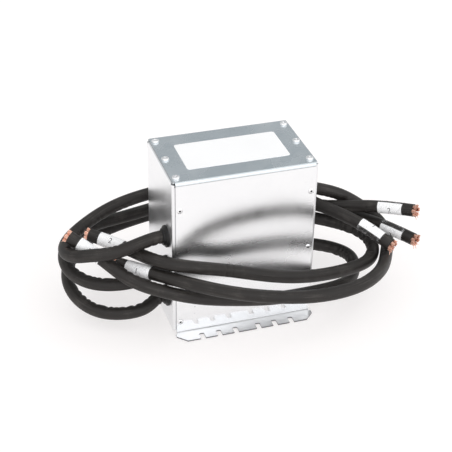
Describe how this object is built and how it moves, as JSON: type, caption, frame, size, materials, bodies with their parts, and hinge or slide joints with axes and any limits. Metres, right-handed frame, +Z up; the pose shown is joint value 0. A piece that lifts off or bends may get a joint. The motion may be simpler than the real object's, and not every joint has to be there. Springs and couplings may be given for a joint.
{
  "type": "power line filter",
  "caption": "Upright galvanised sheet-metal mains filter box with a screwed lid, riveted panels, slotted foot flanges and heavy black flexible leads looped round it.",
  "frame": {"origin": "middle of the box's footprint on the mounting plane, which is the underside of the foot flanges", "axes": "+Z up through the lid, +X towards the load side end plate, -Y towards the front panel"},
  "size_m": [0.3982, 0.255, 0.1914],
  "materials": {
    "galvanised_sheet": "satin",
    "zinc_lid_sheet": "satin",
    "label_film": "matte",
    "plated_steel": "satin",
    "rivet_aluminium": "satin",
    "grommet_rubber": "matte",
    "lead_jacket": "satin",
    "marker_sleeve": "satin",
    "bare_copper": "satin",
    "tinned_copper": "satin",
    "coated_ferrite": "satin",
    "enamelled_wire": "gloss",
    "black_nylon": "matte",
    "white_nylon": "satin",
    "circuit_laminate": "satin",
    "standoff_brass": "satin",
    "capacitor_grey": "satin",
    "capacitor_blue": "gloss",
    "resistor_body": "satin",
    "tap_insulation": "gloss"
  },
  "bodies": {
    "root": {"front_panel": "galvanised_sheet", "rear_panel": "galvanised_sheet", "left_end_plate": "galvanised_sheet", "right_end_plate": "galvanised_sheet", "base_plate": "galvanised_sheet", "lid": "zinc_lid_sheet", "rating_label": "label_film", "lid_screws": "plated_steel", "lid_nuts": "plated_steel", "front_rivets": "rivet_aluminium", "rear_rivets": "rivet_aluminium", "line_grommet_top": "grommet_rubber", "line_grommet_middle": "grommet_rubber", "line_grommet_bottom": "grommet_rubber", "load_grommet_top": "grommet_rubber", "load_grommet_middle": "grommet_rubber", "load_grommet_bottom": "grommet_rubber", "line_lead_top": "lead_jacket", "line_lead_middle": "lead_jacket", "line_lead_bottom": "lead_jacket", "load_lead_top": "lead_jacket", "load_lead_middle": "lead_jacket", "load_lead_bottom": "lead_jacket", "line_marker_top": "marker_sleeve", "line_marker_middle": "marker_sleeve", "line_marker_bottom": "marker_sleeve", "load_marker_top": "marker_sleeve", "load_marker_middle": "marker_sleeve", "load_marker_bottom": "marker_sleeve", "line_strands_top": "bare_copper", "line_strands_middle": "bare_copper", "line_strands_bottom": "bare_copper", "load_strands_top": "bare_copper", "load_strands_middle": "bare_copper", "load_strands_bottom": "bare_copper", "line_ferrules": "tinned_copper", "load_ferrules": "tinned_copper", "choke_core": "coated_ferrite", "top_winding": "enamelled_wire", "front_winding": "enamelled_wire", "rear_winding": "enamelled_wire", "choke_saddle": "black_nylon", "choke_strap": "white_nylon", "saddle_screws": "plated_steel", "capacitor_shelf": "galvanised_sheet", "filter_board": "circuit_laminate", "board_standoffs": "standoff_brass", "board_screws": "plated_steel", "line_capacitor_1": "capacitor_grey", "line_capacitor_2": "capacitor_grey", "line_capacitor_3": "capacitor_grey", "load_capacitor_1": "capacitor_grey", "load_capacitor_2": "capacitor_grey", "load_capacitor_3": "capacitor_grey", "earth_capacitor_1": "capacitor_blue", "earth_capacitor_2": "capacitor_blue", "earth_capacitor_3": "capacitor_blue", "discharge_resistors": "resistor_body", "tap_wires": "tap_insulation"}
  },
  "joints": []
}
